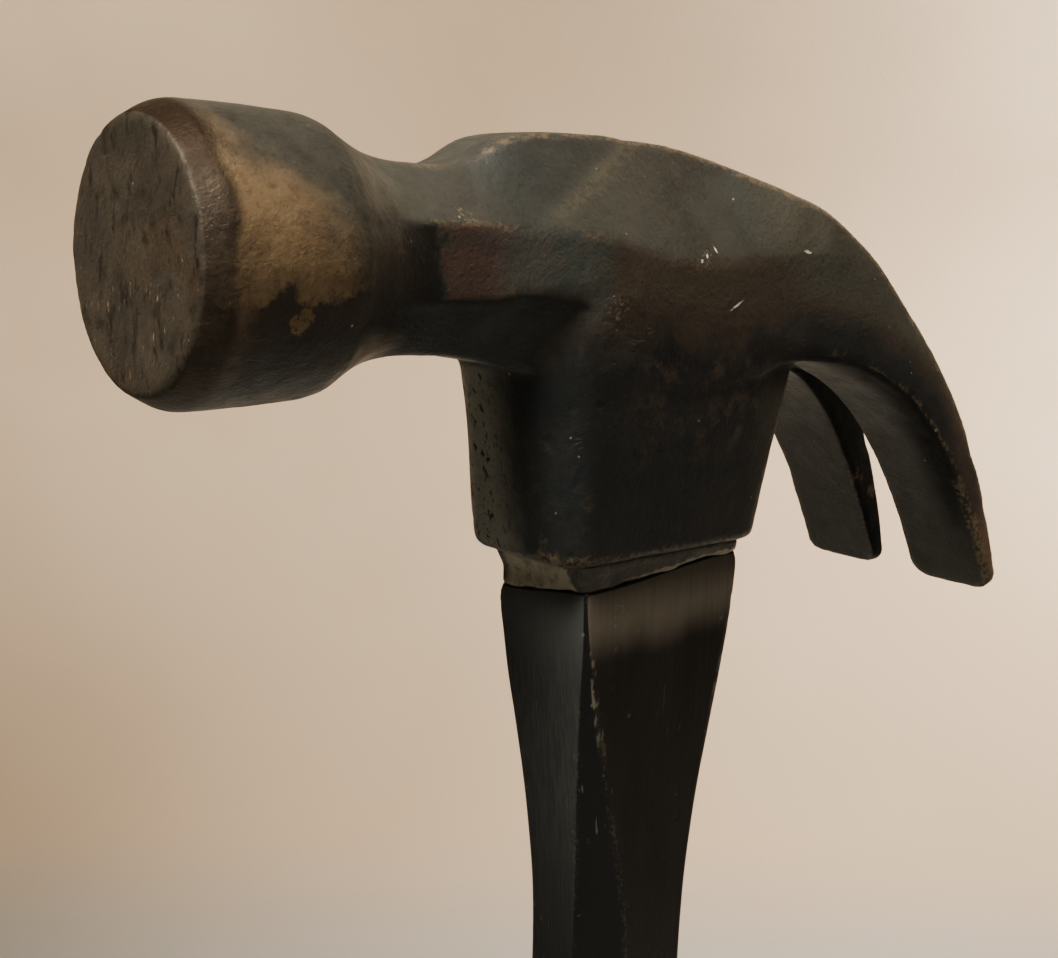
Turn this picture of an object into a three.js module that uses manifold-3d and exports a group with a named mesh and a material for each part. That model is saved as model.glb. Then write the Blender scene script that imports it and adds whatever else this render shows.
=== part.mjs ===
// Claw hammer with a forged head on a moulded, fibreglass-cored handle.
// Millimetres, +Z up from the butt to the head, striking face towards -X, claws towards +X,
// symmetrical about Y = 0. The origin is the centre of the butt's flat end.
import * as THREE from 'three';
import { mergeVertices } from 'three/addons/utils/BufferGeometryUtils.js';
import Module from 'manifold-3d';

const wasm = await Module();
wasm.setup();

// ---- driving dimensions -------------------------------------------------------------------
const RIM_Z = 280.4;            // lower rim of the head's socket above the butt
const GAP = 0.3;                // clearance kept between neighbouring solids

const BELL_AXIS = 35.3;         // height of the striking axis above the rim
const FACE_X = -65.7;           // plane of the striking face
const FACE_R = 13.1;            // flat part of the face
const BELL_R = 14.8;            // largest radius, just behind the face's bevel
const BELL_BEVEL = 2.9;         // length of the face's bevel
const BELL_REAR_X = -48;        // where the bell starts to turn in to the neck
const BELL_REAR_R = 14.2;
const NECK_START_X = -40.6;     // where the bell's fillet reaches the octagonal neck
const NECK_APOTHEM = 10;

const EYE_MOUTH = [13.1, 7.6];  // half-lengths of the eye at the rim (X, Y)
const EYE_TOP = [10.4, 4.8];    // half-lengths of the eye at the crown
const CORE = [7.5, 3.3];        // half-lengths of the flat fibreglass bar
const CORE_FOOT_Z = 16;
const EYE_FILL = 45.5;          // top of what fills the eye, above the rim
const RESIN_DIP = 0.6;          // how far the adhesive lies below the top of the bar

const SLOT_TILT = 30;           // lean of the nail slot's cutting direction, degrees
const SLOT_ROOT = 18.6;         // start of the V along the leaning direction
const SLOT_TIP = 64;
const SLOT_HALF_GAP = 3.2;      // half the gap between the claws at the tips

const JACKET_TOP = -3.4;        // top of the handle's moulding, from the rim
const JACKET_FOOT_Z = 9;
const GRIP_LENGTH = 128;

// ---- solids -------------------------------------------------------------------------------
function solid(geometry) {
  const bare = geometry.index ? geometry.toNonIndexed() : geometry.clone();
  bare.deleteAttribute('normal');
  bare.deleteAttribute('uv');
  const merged = mergeVertices(bare, 1e-4);
  return new wasm.Manifold(new wasm.Mesh({
    numProp: 3,
    vertProperties: new Float32Array(merged.attributes.position.array),
    triVerts: new Uint32Array(merged.index.array),
  }));
}

function toGeometry(manifold) {
  const mesh = manifold.getMesh();
  const geometry = new THREE.BufferGeometry();
  geometry.setAttribute('position', new THREE.BufferAttribute(mesh.vertProperties, 3));
  geometry.setIndex(new THREE.BufferAttribute(mesh.triVerts, 1));
  return geometry;
}

// An extrusion of `shape` with one step between neighbouring stations, whose points are then
// moved by place(u, v, station): a loft that keeps the extrusion's closed ends.
function loft(shape, stations, place) {
  const steps = stations.length - 1;
  const geometry = new THREE.ExtrudeGeometry(shape, {
    depth: steps, steps, bevelEnabled: false, curveSegments: 6,
  });
  const position = geometry.attributes.position;
  for (let i = 0; i < position.count; i += 1) {
    const station = stations[Math.round(position.getZ(i))];
    const point = place(position.getX(i), position.getY(i), station);
    position.setXYZ(i, point[0], point[1], point[2]);
  }
  return solid(geometry);
}

// Rounded rectangle with half-lengths of 1 and corner radii of `rx` and `ry`.
function roundedShape(rx, ry) {
  const shape = new THREE.Shape();
  shape.moveTo(1, 1 - ry);
  shape.absellipse(1 - rx, 1 - ry, rx, ry, 0, Math.PI / 2, false);
  shape.absellipse(rx - 1, 1 - ry, rx, ry, Math.PI / 2, Math.PI, false);
  shape.absellipse(rx - 1, ry - 1, rx, ry, Math.PI, Math.PI * 1.5, false);
  shape.absellipse(1 - rx, ry - 1, rx, ry, Math.PI * 1.5, Math.PI * 2, false);
  return shape;
}

// ---- forged head, measured from the rim --------------------------------------------------
// Sections of the neck, crown and claws. x, z: the upper edge of the section; tilt: its lean
// in degrees; then [half-width, depth below that edge] of the lower bevel edge, the side's
// lower edge and the underside, with the upper edge's own half-width and crown height first.
const HEAD_SECTIONS = [
  { x: -44.0, z: 45.3, tilt: 0, top: [4.1, 0], bevel: [10, 5.9], side: [10, 14.1], under: [4.1, 20] },
  { x: -31.5, z: 45.3, tilt: 0, top: [4.1, 0], bevel: [10, 5.9], side: [10, 14.1], under: [4.2, 20.3] },
  { x: -28.4, z: 46.2, tilt: 0, top: [4.3, 0], bevel: [10.2, 7.1], side: [10.2, 14.8], under: [4.7, 21.7] },
  { x: -25.6, z: 47.8, tilt: 0, top: [4.5, 0], bevel: [10.4, 8.9], side: [10.4, 16], under: [5.4, 23.9] },
  { x: -22.6, z: 48.8, tilt: 0, top: [4.8, 0.1], bevel: [10.7, 10], side: [10.7, 16.8], under: [6.4, 25.2] },
  { x: -17.0, z: 49.3, tilt: 0, top: [5.1, 0.2], bevel: [11.1, 10.8], side: [11.1, 17.4], under: [8, 26.5] },
  { x: -9.0, z: 49.4, tilt: 0, top: [5.4, 0.2], bevel: [11.5, 12.7], side: [11.5, 19], under: [9.5, 27] },
  { x: -2.0, z: 49.0, tilt: 0, top: [5.7, 0.3], bevel: [11.8, 13.6], side: [11.8, 20], under: [10.5, 28] },
  { x: 6.0, z: 47.4, tilt: 0, top: [7, 0.6], bevel: [12, 12], side: [12, 20], under: [11, 26] },
  { x: 12.0, z: 45.3, tilt: 0, top: [9.8, 1.4], bevel: [12.3, 9], side: [12.3, 19], under: [11.4, 23.4] },
  { x: 17.0, z: 43.5, tilt: 4, top: [11.8, 2], bevel: [12.6, 6.1], side: [12.6, 18.4], under: [11.8, 20.6] },
  { x: 22.5, z: 41.9, tilt: 13, top: [12.3, 1.8], bevel: [13, 4.2], side: [13, 17.4], under: [12.4, 19.2] },
  { x: 28.3, z: 38.6, tilt: 23, top: [12.9, 1.5], bevel: [13.4, 2.4], side: [13.4, 15.6], under: [12.9, 17] },
  { x: 32.6, z: 35.5, tilt: 31, top: [13.4, 1.3], bevel: [13.8, 2.1], side: [13.8, 13.8], under: [13.4, 15] },
  { x: 36.7, z: 31.6, tilt: 38, top: [13.9, 1.1], bevel: [14.2, 1.8], side: [14.2, 11.3], under: [13.8, 12.4] },
  { x: 41.0, z: 27.5, tilt: 46, top: [14.4, 0.9], bevel: [14.7, 1.5], side: [14.7, 9.5], under: [14.4, 10.5] },
  { x: 46.0, z: 22.0, tilt: 52, top: [14.9, 0.8], bevel: [15.2, 1.3], side: [15.2, 7.3], under: [14.9, 8.1] },
  { x: 51.0, z: 15.5, tilt: 56.5, top: [15.5, 0.7], bevel: [15.7, 1.1], side: [15.7, 5.8], under: [15.5, 6.5] },
  { x: 55.0, z: 8.6, tilt: 61, top: [16, 0.6], bevel: [16.2, 1], side: [16.2, 4.7], under: [16, 5.2] },
  { x: 58.3, z: 2.2, tilt: 66, top: [16.3, 0.5], bevel: [16.4, 0.8], side: [16.4, 3.8], under: [16.2, 4.3] },
  { x: 61.5, z: -5.8, tilt: 70, top: [16.6, 0.4], bevel: [16.7, 0.5], side: [16.7, 2.6], under: [16.5, 3] },
  { x: 63.6, z: -12.2, tilt: 76, top: [16.9, 0.3], bevel: [16.9, 0.4], side: [16.9, 1.4], under: [16.7, 1.9] },
];

function headBody() {
  // Half-outline keys: the section's named edges, from the crown line down to the underside.
  const key = [[0, 5], [1, 4], [2, 3], [2, 2], [1, 1], [0, 0]];
  const outline = key.concat(key.slice(1, -1).reverse().map(([u, v]) => [-u, v]));
  const shape = new THREE.Shape(outline.map(([u, v]) => new THREE.Vector2(u, v)));
  return loft(shape, HEAD_SECTIONS, (u, v, s) => {
    const edge = [
      [0, s.under[1] + 0.2], s.under, s.side, s.bevel, [s.top[0], 0], [0, -s.top[1]],
    ][Math.round(v)];
    const lean = THREE.MathUtils.degToRad(s.tilt);
    const x = s.x - edge[1] * Math.sin(lean);
    const z = s.z - edge[1] * Math.cos(lean);
    return [x, Math.sign(u) * edge[0], z];
  });
}

function bell() {
  const profile = [
    [0, FACE_X], [FACE_R, FACE_X], [FACE_R + 1.1, FACE_X + 1.3],
    [BELL_R, FACE_X + BELL_BEVEL], [BELL_R, FACE_X + BELL_BEVEL + 1.5],
    [BELL_R - 0.1, -55], [BELL_REAR_R + 0.2, BELL_REAR_X - 1.5], [BELL_REAR_R, BELL_REAR_X],
    [BELL_REAR_R - 1, BELL_REAR_X + 1.6], [BELL_REAR_R - 2, BELL_REAR_X + 3.4],
    [NECK_APOTHEM + 1.2, BELL_REAR_X + 5.6], [NECK_APOTHEM + 0.6, NECK_START_X],
    [NECK_APOTHEM - 0.6, NECK_START_X + 1.5], [0, NECK_START_X + 1.5],
  ].map(([r, x]) => new THREE.Vector2(r, x));
  const geometry = new THREE.LatheGeometry(profile, 64);
  geometry.rotateZ(-Math.PI / 2);
  geometry.translate(0, 0, BELL_AXIS);
  return solid(geometry);
}

// z, front x, rear x, half-width of the socket that holds the handle.
const SOCKET_SECTIONS = [
  [0, -16.0, 15.4, 8.7],
  [0.8, -17.1, 16.4, 9.6],
  [2.4, -17.6, 16.9, 10],
  [12, -19.1, 18.8, 10.5],
  [20, -20.6, 20.6, 10.9],
  [24, -21.5, 21.8, 11.1],
  [31, -20, 21, 11.2],
  [37, -12, 14, 10.6],
];

function socket() {
  return loft(roundedShape(0.24, 0.4), SOCKET_SECTIONS, (u, v, s) => [
    (s[1] + s[2]) / 2 + u * (s[2] - s[1]) / 2, v * s[3], s[0],
  ]);
}

// Tapered hole for the handle, drawn in by `inset` to make what fills it.
function eye(inset, from, to) {
  const levels = [from, 6, 38, to].map((z) => {
    const t = THREE.MathUtils.clamp((z - 6) / 32, 0, 1);
    return [
      z,
      THREE.MathUtils.lerp(EYE_MOUTH[0], EYE_TOP[0], t) - inset,
      THREE.MathUtils.lerp(EYE_MOUTH[1], EYE_TOP[1], t) - inset,
    ];
  });
  return loft(roundedShape(0.3, 0.5), levels, (u, v, s) => [u * s[1], v * s[2], s[0]]);
}

// V between the claws: a long curved taper with a small round root.
function nailSlot() {
  const length = SLOT_TIP - SLOT_ROOT;
  const shape = new THREE.Shape();
  shape.moveTo(0, 0);
  shape.quadraticCurveTo(0.4, 0.9, 3, 1.15);
  shape.quadraticCurveTo(length * 0.45, SLOT_HALF_GAP * 0.92, length, SLOT_HALF_GAP);
  shape.lineTo(length + 12, SLOT_HALF_GAP + 0.05);
  shape.lineTo(length + 12, -SLOT_HALF_GAP - 0.05);
  shape.lineTo(length, -SLOT_HALF_GAP);
  shape.quadraticCurveTo(length * 0.45, -SLOT_HALF_GAP * 0.92, 3, -1.15);
  shape.quadraticCurveTo(0.4, -0.9, 0, 0);
  const geometry = new THREE.ExtrudeGeometry(shape, { depth: 90, bevelEnabled: false, curveSegments: 8 });
  geometry.translate(SLOT_ROOT, 0, -30);
  geometry.rotateY(THREE.MathUtils.degToRad(SLOT_TILT));
  return solid(geometry);
}

// ---- handle ---------------------------------------------------------------------------------
// z, half-length X, half-width Y, corner cut, how far the section sits behind the bar's axis:
// a sharp-cornered oblong at the head that turns into an octagonal shaft. Heights from the rim
// down to the waist, then from the butt.
const JACKET_SECTIONS = [
  [RIM_Z + JACKET_TOP, 13.3, 7.7, 0.5, 0.7],
  [RIM_Z - 4.2, 13.5, 7.9, 0.4, 0.7],
  [RIM_Z - 7, 13.4, 8.05, 0.5, 0.7],
  [RIM_Z - 11, 13.1, 8.1, 0.8, 0.7],
  [RIM_Z - 17, 12.65, 8, 1.4, 0.75],
  [RIM_Z - 23, 12.05, 7.95, 2.1, 0.9],
  [RIM_Z - 30, 11.3, 7.95, 2.9, 1],
  [RIM_Z - 38, 10.5, 8.15, 3.7, 1.1],
  [RIM_Z - 45, 10.05, 8.5, 4.5, 1.2],
  [RIM_Z - 60, 9.8, 8.8, 5, 1.3],
  [180, 9.9, 8.7, 4.9, 0.6],
  [130, 10.6, 8.6, 4.8, 0],
  [60, 11, 8.8, 4.8, 0],
  [JACKET_FOOT_Z, 10.6, 8.4, 4.6, 0],
].reverse();

function jacketOuter(grow) {
  const outline = [[2, 1], [1, 2], [-1, 2], [-2, 1], [-2, -1], [-1, -2], [1, -2], [2, -1]];
  const shape = new THREE.Shape(outline.map(([u, v]) => new THREE.Vector2(u, v)));
  const foot = JACKET_SECTIONS[0];
  return loft(shape, JACKET_SECTIONS, (u, v, s) => {
    const cutX = Math.abs(u) < 1.5 ? s[3] : 0;
    const cutY = Math.abs(v) < 1.5 ? s[3] : 0;
    return [
      s[4] + Math.sign(u) * (s[1] + grow - cutX),
      Math.sign(v) * (s[2] + grow - cutY),
      s === foot ? s[0] - grow : s[0],
    ];
  });
}

function coreBar(grow) {
  const past = grow > 0 ? 6 : 0;
  const levels = [[CORE_FOOT_Z - grow], [RIM_Z + EYE_FILL + past]];
  return loft(roundedShape(0.28, 0.58), levels, (u, v, s) => [
    u * (CORE[0] + grow), v * (CORE[1] + grow), s[0],
  ]);
}

// z, half-length X, half-width Y of the rubber grip, with a palm swell and a flared butt.
const GRIP_SECTIONS = [
  [0, 12.6, 9.6], [0.9, 14.6, 11.4], [2.6, 16.2, 12.7], [6, 17.2, 13.4], [10, 17.2, 13.4],
  [20, 16.2, 12.6], [38, 16.0, 12.5], [62, 16.6, 12.9], [88, 15.9, 12.5], [108, 14.7, 11.7],
  [122, 14.0, 11.3], [126.6, 13.6, 11], [GRIP_LENGTH, 12.7, 10.2],
];

function gripOuter() {
  return loft(roundedShape(0.72, 0.86), GRIP_SECTIONS, (u, v, s) => [u * s[1], v * s[2], s[0]]);
}

// ---- assembly -------------------------------------------------------------------------------
const headSolid = headBody().add(bell()).add(socket())
  .subtract(eye(0, -4, EYE_FILL + 8))
  .subtract(nailSlot())
  .translate([0, 0, RIM_Z]);

// Adhesive: fills the eye round the bar and is squeezed out in a low collar under the rim.
const COLLAR_SECTIONS = [
  [JACKET_TOP + GAP, 13.2, 7.6, 0.7],
  [-2, 13.4, 7.8, 0.6],
  [-0.9, 13.8, 8.2, 0.3],
  [-GAP, 14.2, 8.7, 0],
];
const collar = loft(roundedShape(0.14, 0.22), COLLAR_SECTIONS, (u, v, s) => [
  s[3] + u * s[1], v * s[2], s[0],
]);
const resinSolid = collar.add(eye(GAP, -1.5, EYE_FILL - RESIN_DIP))
  .translate([0, 0, RIM_Z])
  .subtract(coreBar(GAP));

const jacketSolid = jacketOuter(0).subtract(coreBar(GAP));
const gripSolid = gripOuter().subtract(jacketOuter(GAP));

const steel = new THREE.MeshStandardMaterial({ color: 0x1d1a17, roughness: 0.55, metalness: 0.6 });
const resin = new THREE.MeshStandardMaterial({ color: 0xb9a06a, roughness: 0.45, metalness: 0 });
const fibreglass = new THREE.MeshStandardMaterial({ color: 0xcfc39a, roughness: 0.6, metalness: 0 });
const moulding = new THREE.MeshStandardMaterial({ color: 0x17110f, roughness: 0.4, metalness: 0 });
const rubber = new THREE.MeshStandardMaterial({ color: 0x141414, roughness: 0.8, metalness: 0 });

const hammer = new THREE.Group();
function addPart(name, manifold, material) {
  const mesh = new THREE.Mesh(toGeometry(manifold), material);
  mesh.name = name;
  hammer.add(mesh);
}
addPart('hammer_head', headSolid, steel);
addPart('eye_resin', resinSolid, resin);
addPart('handle_core', coreBar(0), fibreglass);
addPart('handle_jacket', jacketSolid, moulding);
addPart('grip_sleeve', gripSolid, rubber);

export default hammer;
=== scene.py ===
"""A worn claw hammer: black-painted forged head with a bare bell, squeezed-out adhesive,
an octagonal moulded handle and a rubber grip, on a plain pale studio sweep.

Lengths inside the modelling functions are millimetres in the row frame; meshes are made in metres.
Every piece but the grip is modelled with heights from the head's lower rim.
"""
from functools import reduce
import math

import bpy
import numpy as np
from mathutils import Matrix, Vector


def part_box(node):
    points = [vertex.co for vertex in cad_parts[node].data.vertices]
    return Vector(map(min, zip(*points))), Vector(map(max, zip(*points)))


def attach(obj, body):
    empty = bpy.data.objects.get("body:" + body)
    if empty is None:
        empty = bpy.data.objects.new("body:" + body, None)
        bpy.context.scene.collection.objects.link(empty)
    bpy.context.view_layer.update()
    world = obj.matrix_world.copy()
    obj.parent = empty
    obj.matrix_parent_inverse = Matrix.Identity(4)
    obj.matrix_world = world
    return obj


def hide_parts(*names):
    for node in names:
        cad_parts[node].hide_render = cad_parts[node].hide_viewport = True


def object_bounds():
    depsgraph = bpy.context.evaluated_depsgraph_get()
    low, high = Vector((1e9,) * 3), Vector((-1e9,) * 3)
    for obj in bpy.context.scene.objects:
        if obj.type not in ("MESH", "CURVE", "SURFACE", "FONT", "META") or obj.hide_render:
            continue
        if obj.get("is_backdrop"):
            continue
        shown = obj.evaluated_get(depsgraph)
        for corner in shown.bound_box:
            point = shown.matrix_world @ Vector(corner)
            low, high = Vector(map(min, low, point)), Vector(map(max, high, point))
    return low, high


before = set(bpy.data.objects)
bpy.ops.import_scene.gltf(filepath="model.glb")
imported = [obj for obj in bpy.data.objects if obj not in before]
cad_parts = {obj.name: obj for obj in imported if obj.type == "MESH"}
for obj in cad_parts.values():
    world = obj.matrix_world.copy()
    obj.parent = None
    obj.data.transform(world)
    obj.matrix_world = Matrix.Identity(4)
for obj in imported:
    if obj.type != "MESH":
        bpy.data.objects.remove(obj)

CAD_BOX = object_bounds()
MM = 0.001

HEAD_LOW, HEAD_HIGH = (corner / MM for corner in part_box("hammer_head"))
JACKET_LOW, JACKET_HIGH = (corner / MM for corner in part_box("handle_jacket"))
GRIP_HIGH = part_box("grip_sleeve")[1] / MM
CORE_LOW, CORE_HIGH = (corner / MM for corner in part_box("handle_core"))

# ---- driving dimensions ---------------------------------------------------------------------
RIM_Z = JACKET_HIGH.z + 3.4     # lower rim of the head's socket
INSET = 0.04                    # how far the head's detailed surface stays inside the CAD solid
GAP = 0.3                       # between a piece and the piece inside it
HEAD_VOXEL = 0.48
RESIN_VOXEL = 0.45

BELL_AXIS = 35.3                # striking axis above the rim
FACE_X = HEAD_LOW.x
FACE_R = 13.1
BELL_R = 14.8
BELL_BEVEL = 2.9
NECK_START = -43                # x inside the bell
BELL_END = -38.5                # x inside the neck

EYE_MOUTH = (13.1, 7.6)         # half-length and half-width of the eye at the rim
EYE_TOP = (10.4, 4.8)
EYE_TAPER = (6, 38)             # heights above the rim between which it narrows
EYE_FILL = CORE_HIGH.z - RIM_Z  # top of what fills the eye

SLOT_TILT = math.radians(30)
SLOT_ROOT = 18.6                # where the nail slot starts and ends, along its tilted axis
SLOT_TIP = 64.0
SLOT_STRAIGHT = 3               # length at its root before it widens
SLOT_HALF_GAP = 3.2
SLOT_ROOT_HALF_GAP = 1.15

# The camera's turn from +Y to +X, its dip and its tilt, in radians, and its place from the rim.
VIEW_YAW, VIEW_PITCH, VIEW_ROLL = 0.726, 0.186, 0.035
CAMERA_PLACE = (-127.98, -126.9, 41.3)
CAMERA_LENS = 49.47
AWAY = Vector((math.sin(VIEW_YAW), math.cos(VIEW_YAW), 0))
ACROSS = Vector((AWAY.y, -AWAY.x, 0))


# ---- implicit modelling ---------------------------------------------------------------------
def smooth_max(a, b, radius):
    return np.maximum(a, b) + np.maximum(radius - np.abs(a - b), 0) ** 2 / (4 * radius)


def smooth_min(a, b, radius):
    return -smooth_max(-a, -b, radius)


def smoothstep(low, high, value):
    t = np.clip((value - low) / (high - low), 0, 1)
    return t * t * (3 - 2 * t)


def spline(values, at):
    """Catmull-Rom value of a row of evenly spaced stations at the station number `at`."""
    values = np.asarray(values, float)
    last = len(values) - 1
    at = np.clip(at, 0, last)
    i = np.minimum(at.astype(int), last - 1)
    t = at - i
    p0, p1 = values[np.maximum(i - 1, 0)], values[i]
    p2, p3 = values[i + 1], values[np.minimum(i + 2, last)]
    cubic = 3 * (p1 - p2) + p3 - p0
    return p1 + 0.5 * t * (p2 - p0 + t * (2 * p0 - 5 * p1 + 4 * p2 - p3 + t * cubic))


def mix_corners(grid, base, t):
    """Trilinear value in a grid that repeats, a share `t` of the way past the cells' corners."""
    total = np.zeros(len(base))
    for corner in np.ndindex(2, 2, 2):
        weight = np.prod(np.where(corner, t, 1 - t), axis=1)
        index = (base + corner) % grid.shape
        total += weight * grid[tuple(index.T)]
    return total


def lattice_noise(points, cell, seed):
    """Smooth value noise in -1..1 on a lattice of `cell` millimetres."""
    lattice = np.random.default_rng(seed).uniform(-1, 1, (32, 32, 32))
    scaled = points / cell
    base = np.floor(scaled).astype(int)
    return mix_corners(lattice, base, smoothstep(0, 1, scaled - base))


def fractal_noise(points, cell, octaves, seed):
    total = np.zeros(len(points))
    for octave in range(octaves):
        total += lattice_noise(points, cell / 2 ** octave, seed + octave) / 2 ** octave
    return total


def sample(field, low, step, points):
    """Trilinear value of a gridded field at the points."""
    at = np.clip((points - low) / step, 0, np.array(field.shape) - 1.001)
    base = at.astype(int)
    return mix_corners(field, base, at - base)


def field_gradient(field, low, step, points):
    columns = []
    for axis in np.eye(3) * step * 0.5:
        ahead = sample(field, low, step, points + axis)
        columns.append((ahead - sample(field, low, step, points - axis)) / step)
    return np.stack(columns, axis=1)


def surface_nets(field, low, step):
    """Vertices and quads of the zero surface of a field that is negative inside."""
    inside = field < 0
    cells = tuple(n - 1 for n in field.shape)
    corner_list = list(np.ndindex(2, 2, 2))
    count = sum(
        inside[a:a + cells[0], b:b + cells[1], c:c + cells[2]].astype(np.int8)
        for a, b, c in corner_list
    )
    active = np.argwhere((count > 0) & (count < 8))
    index = np.full(cells, -1)
    index[tuple(active.T)] = np.arange(len(active))
    value = np.stack([field[tuple((active + corner).T)] for corner in corner_list])
    total = np.zeros((len(active), 3))
    hits = np.zeros(len(active))
    for a, corner_a in enumerate(corner_list):
        for b, corner_b in enumerate(corner_list):
            if b > a and sum(np.abs(np.subtract(corner_a, corner_b))) == 1:
                crosses = (value[a] < 0) != (value[b] < 0)
                t = np.where(crosses, value[a] / np.where(crosses, value[a] - value[b], 1), 0)
                point = corner_a + t[:, None] * np.subtract(corner_b, corner_a)
                total += point * crosses[:, None]
                hits += crosses
    vertices = low + (active + total / hits[:, None]) * step

    quads = []
    for axis in range(3):
        u, v = np.eye(3, dtype=int)[[(axis + 1) % 3, (axis + 2) % 3]]
        head = [slice(1, n - 1) for n in field.shape]
        head[axis] = slice(0, field.shape[axis] - 1)
        tail = list(head)
        tail[axis] = slice(1, field.shape[axis])
        starts, ends = inside[tuple(head)], inside[tuple(tail)]
        offset = np.array([1, 1, 1])
        offset[axis] = 0
        for leaving, order in ((True, (0, 1, 2, 3)), (False, (3, 2, 1, 0))):
            found = np.argwhere((starts == leaving) & (ends != leaving)) + offset
            ring = [found - u - v, found - v, found, found - u]
            quads.append(np.stack([index[tuple(ring[k].T)] for k in order], axis=1))
    return vertices, np.concatenate(quads)


def neighbour_mean(vertices, quads):
    """For each vertex, the mean of the middles of the quads round it."""
    middle = vertices[quads].mean(axis=1)
    total = np.zeros_like(vertices)
    hits = np.zeros(len(vertices))
    for k in range(4):
        np.add.at(total, quads[:, k], middle)
        np.add.at(hits, quads[:, k], 1)
    return total / hits[:, None]


def implicit_mesh(field_of, low, high, step, rounds):
    """Vertices and even quads on the zero surface of a field, sampled between two corners."""
    axes = [np.arange(a, b + step, step) for a, b in zip(low, high)]
    field = field_of(*np.meshgrid(*axes, indexing="ij", sparse=True))
    vertices, quads = surface_nets(field, low, step)
    for _ in range(rounds):
        vertices = vertices + 0.7 * (neighbour_mean(vertices, quads) - vertices)
        # Two Newton steps put every vertex back on the surface.
        for _ in range(2):
            slope = field_gradient(field, low, step, vertices)
            size = np.maximum((slope ** 2).sum(axis=1), 0.05)
            vertices = vertices - slope * (sample(field, low, step, vertices) / size)[:, None]
    return vertices, quads


def vertex_normals(vertices, quads):
    a, b, c, d = (vertices[quads[:, k]] for k in range(4))
    face = np.cross(c - a, d - b)
    total = np.zeros_like(vertices)
    for k in range(4):
        np.add.at(total, quads[:, k], face)
    return total / np.maximum(np.linalg.norm(total, axis=1), 1e-9)[:, None]


def edge_sharpness(vertices, quads, rounds):
    """How far each vertex stands proud of its smoothed neighbourhood: over 0 on ridges."""
    smooth = vertices
    for _ in range(rounds):
        smooth = neighbour_mean(smooth, quads)
    return ((vertices - smooth) * vertex_normals(vertices, quads)).sum(axis=1)


def pit_push(vertices, centres, radii, depths):
    """Round-bottomed pits, as a push along the normal that is below 0 inside them."""
    push = np.zeros(len(vertices))
    for centre, radius, depth in zip(centres, radii, depths):
        near = np.flatnonzero(np.abs(vertices - centre).max(axis=1) < radius)
        distance = np.linalg.norm(vertices[near] - centre, axis=1) / radius
        push[near] -= depth * np.clip(1 - distance ** 2, 0, 1)
    return push


def mesh_piece(name, vertices, faces, attributes=None):
    """A smooth-shaded object from points in millimetres, with named numbers on its points."""
    mesh = bpy.data.meshes.new(name)
    mesh.from_pydata((vertices * MM).tolist(), [], faces.tolist())
    mesh.shade_smooth()
    for key, values in (attributes or {}).items():
        layer = mesh.attributes.new(key, "FLOAT", "POINT")
        layer.data.foreach_set("value", np.asarray(values, np.float32))
    piece = bpy.data.objects.new(name, mesh)
    bpy.context.scene.collection.objects.link(piece)
    return piece


# ---- forged head ----------------------------------------------------------------------------
# Sections of the neck, crown and claws, from the bell to the claws' tips. x, z: the section's
# upper edge; lean: its tilt in degrees; crown: how far its top bulges. Then half-widths (top,
# side, under) and depths below the upper edge: the bevel's foot, the side's lower edge and the
# underside.
HEAD_SECTIONS = {
    "x": (-44, -37.5, -31.5, -28.4, -25.6, -22.6, -17, -9, -2, 6, 12, 17, 22.5, 28.3, 32.6, 36.7,
          41, 46, 51, 55, 58.3, 61.5, 63.6),
    "z": (45.3, 45.3, 45.3, 46.2, 47.8, 48.8, 49.3, 49.4, 49, 47.4, 45.3, 43.5, 41.9, 38.6, 35.5,
          31.6, 27.5, 22, 15.5, 8.6, 2.2, -5.8, -12.2),
    "lean": (0, 0, 0, 0, 0, 0, 0, 0, 0, 0, 0, 4, 13, 23, 31, 38, 46, 52, 56.5, 61, 66, 70, 76),
    "crown": (0, 0, 0, 0, 0, 0.1, 0.2, 0.2, 0.3, 0.6, 1.4, 2, 1.8, 1.5, 1.3, 1.1, 0.9, 0.8, 0.7,
              0.6, 0.5, 0.4, 0.3),
    "top": (4.1, 4.1, 4.1, 4.3, 4.5, 4.8, 5.1, 5.4, 5.7, 7, 9.8, 11.8, 12.3, 12.9, 13.4, 13.9,
            14.4, 14.9, 15.5, 16, 16.3, 16.6, 16.9),
    "side": (10, 10, 10, 10.2, 10.4, 10.7, 11.1, 11.5, 11.8, 12, 12.3, 12.6, 13, 13.4, 13.8,
             14.2, 14.7, 15.2, 15.7, 16.2, 16.4, 16.7, 16.9),
    "under": (4.1, 4.1, 4.2, 4.7, 5.4, 6.4, 8, 9.5, 10.5, 11, 11.4, 11.8, 12.4, 12.9, 13.4, 13.8,
              14.4, 14.9, 15.5, 16, 16.2, 16.5, 16.7),
    "bevel_drop": (5.9, 5.9, 5.9, 7.1, 8.9, 10, 10.8, 12.7, 13.6, 12, 9, 6.1, 4.2, 2.4, 2.1, 1.8,
                   1.5, 1.3, 1.1, 1, 0.8, 0.5, 0.4),
    "side_drop": (14.1, 14.1, 14.1, 14.8, 16, 16.8, 17.4, 19, 20, 20, 19, 18.4, 17.4, 15.6, 13.8,
                  11.3, 9.5, 7.3, 5.8, 4.7, 3.8, 2.6, 1.4),
    "under_drop": (20, 20, 20.3, 21.7, 23.9, 25.2, 26.5, 27, 28, 26, 23.4, 20.6, 19.2, 17, 15,
                   12.4, 10.5, 8.1, 6.5, 5.2, 4.3, 3, 1.9),
}
# Height above the rim, front x, rear x and half-width of the socket.
SOCKET = {
    "z": (0, 2.4, 12, 20, 24, 31, 37),
    "front": (-17.6, -18.0, -19.7, -21.2, -21.9, -20, -12),
    "rear": (16.6, 16.9, 18.8, 20.6, 21.6, 21, 14),
    "half": (9.9, 10, 10.5, 10.9, 11, 11.1, 10.6),
}
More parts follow.
